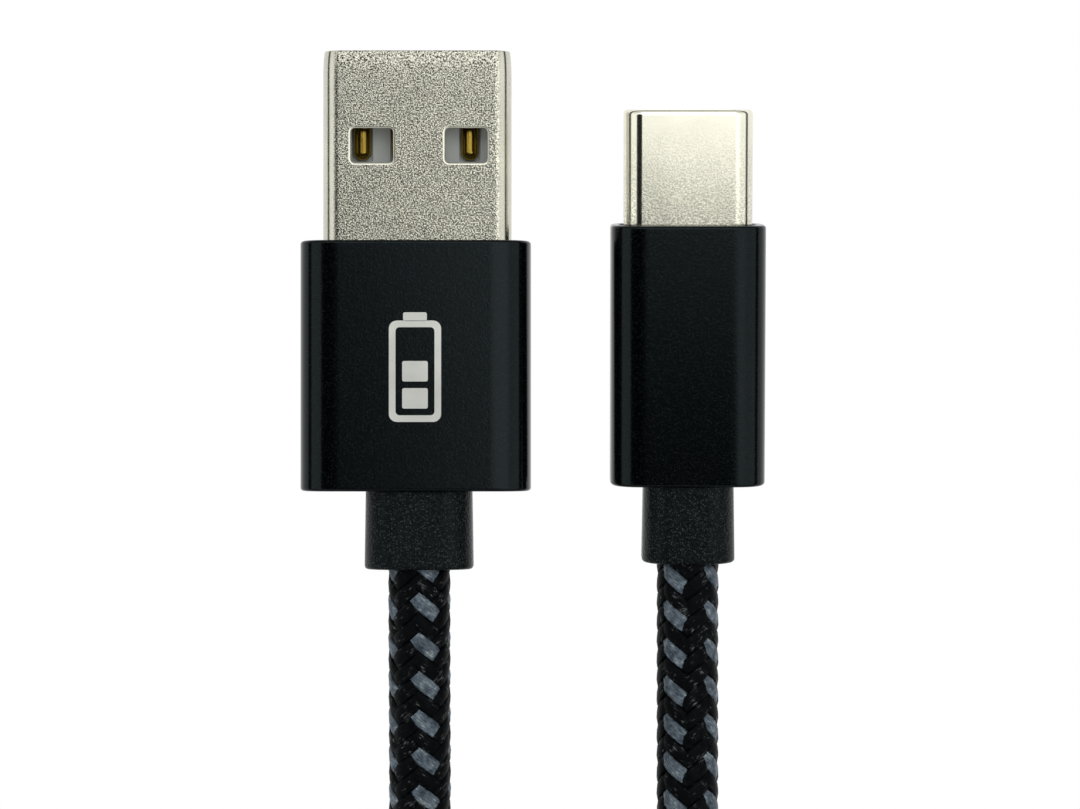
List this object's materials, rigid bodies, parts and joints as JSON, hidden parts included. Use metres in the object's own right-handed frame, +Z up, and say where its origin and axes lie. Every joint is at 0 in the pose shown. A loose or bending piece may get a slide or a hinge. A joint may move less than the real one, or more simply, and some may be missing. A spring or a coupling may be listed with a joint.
{
  "type": "charging cable",
  "caption": "Braided charging cable with a flat rectangular plug and a small oval reversible plug in black metal sleeves, its cord folded into a strapped hank.",
  "frame": {"origin": "bottom centre of the box round the two plugs, on the surface that the cable lies on", "axes": "+Y towards both plugs' tips, +Z up off the surface, +X from the rectangular plug to the oval plug"},
  "size_m": [0.0362, 0.1397, 0.0149],
  "materials": {
    "nickel_shell": "fine-grained bright nickel plate",
    "spring_steel": "bright spring steel",
    "gold_contact": "bright gold flash over nickel",
    "brass": "plain crimped brass",
    "anodised_aluminium": "fine bead-blasted black anodising, blue cast",
    "elastomer": "matt moulded elastomer with a fine grain",
    "black_plastic": "satin moulded plastic",
    "jacket": "smooth extruded jacket",
    "white_plastic": "satin moulded plastic",
    "circuit_card": "solder resist",
    "chip": "matt ceramic",
    "braid": "woven black and blue-grey yarns",
    "strap_webbing": "woven loop webbing",
    "wire_red": "extruded insulation",
    "wire_white": "extruded insulation",
    "wire_green": "extruded insulation",
    "wire_black": "extruded insulation"
  },
  "bodies": {
    "cable": {"a_contact_1": "gold_contact", "a_contact_2": "gold_contact", "a_contact_3": "gold_contact", "a_contact_4": "gold_contact", "a_crimp_ferrule": "brass", "a_inner_mould": "black_plastic", "a_insulator": "white_plastic", "a_jacket_end": "jacket", "a_shell": "nickel_shell", "a_sleeve": "anodised_aluminium", "a_strain_relief": "elastomer", "a_wire_black": "wire_black", "a_wire_green": "wire_green", "a_wire_red": "wire_red", "a_wire_white": "wire_white", "c_card": "circuit_card", "c_crimp_ferrule": "brass", "c_housing": "black_plastic", "c_inner_mould": "black_plastic", "c_jacket_end": "jacket", "c_lower_wafer": "black_plastic", "c_mid_plate": "spring_steel", "c_resistor": "chip", "c_shell": "nickel_shell", "c_sleeve": "anodised_aluminium", "c_strain_relief": "elastomer", "c_upper_wafer": "black_plastic", "c_wire_black": "wire_black", "c_wire_green": "wire_green", "c_wire_red": "wire_red", "c_wire_white": "wire_white", "cord_hank": "braid", "cord_lead_a": "braid", "cord_lead_c": "braid", "hank_strap": "strap_webbing"},
    "upper_contacts": {"c_upper_contact_1": "gold_contact", "c_upper_contact_2": "gold_contact", "c_upper_contact_3": "gold_contact", "c_upper_contact_4": "gold_contact", "c_upper_contact_5": "gold_contact", "c_upper_contact_6": "gold_contact", "c_upper_contact_7": "gold_contact"},
    "lower_contacts": {"c_lower_contact_1": "gold_contact", "c_lower_contact_2": "gold_contact", "c_lower_contact_3": "gold_contact", "c_lower_contact_4": "gold_contact", "c_lower_contact_5": "gold_contact"},
    "latch_right": {"c_latch_right": "spring_steel"},
    "latch_left": {"c_latch_left": "spring_steel"},
    "upper_ground_spring": {"c_upper_ground_spring": "spring_steel"},
    "lower_ground_spring": {"c_lower_ground_spring": "spring_steel"}
  },
  "joints": [
    {"name": "upper_contacts_flex", "type": "hinge", "parent": "cable", "child": "upper_contacts", "pos_m": [0.00988, 0.00586, 0.00483], "axis": [1, 0, 0], "range_deg": [0, 2.5], "stiffness_Nm_per_rad": 0.00005},
    {"name": "lower_contacts_flex", "type": "hinge", "parent": "cable", "child": "lower_contacts", "pos_m": [0.00988, 0.00594, 0.00391], "axis": [-1, 0, 0], "range_deg": [0, 2.5], "stiffness_Nm_per_rad": 0.00005},
    {"name": "latch_right_flex", "type": "hinge", "parent": "cable", "child": "latch_right", "pos_m": [0.01333, 0.0059, 0.00437], "axis": [0, 0.0872, -0.9962], "range_deg": [0, 2.5], "stiffness_Nm_per_rad": 0.00005},
    {"name": "latch_left_flex", "type": "hinge", "parent": "cable", "child": "latch_left", "pos_m": [0.00643, 0.0059, 0.00437], "axis": [0, -0.0872, 0.9962], "range_deg": [0, 2.5], "stiffness_Nm_per_rad": 0.00005},
    {"name": "upper_ground_spring_flex", "type": "hinge", "parent": "cable", "child": "upper_ground_spring", "pos_m": [0.00988, 0.01092, 0.00553], "axis": [1, 0, 0], "range_deg": [0, 4], "stiffness_Nm_per_rad": 0.00005},
    {"name": "lower_ground_spring_flex", "type": "hinge", "parent": "cable", "child": "lower_ground_spring", "pos_m": [0.00988, 0.01104, 0.0041], "axis": [-1, 0, 0], "range_deg": [0, 4], "stiffness_Nm_per_rad": 0.00005}
  ],
  "couplings": [
    {"joint": "lower_contacts_flex", "follows": "upper_contacts_flex", "ratio": 1},
    {"joint": "latch_left_flex", "follows": "latch_right_flex", "ratio": 1},
    {"joint": "lower_ground_spring_flex", "follows": "upper_ground_spring_flex", "ratio": 1}
  ]
}
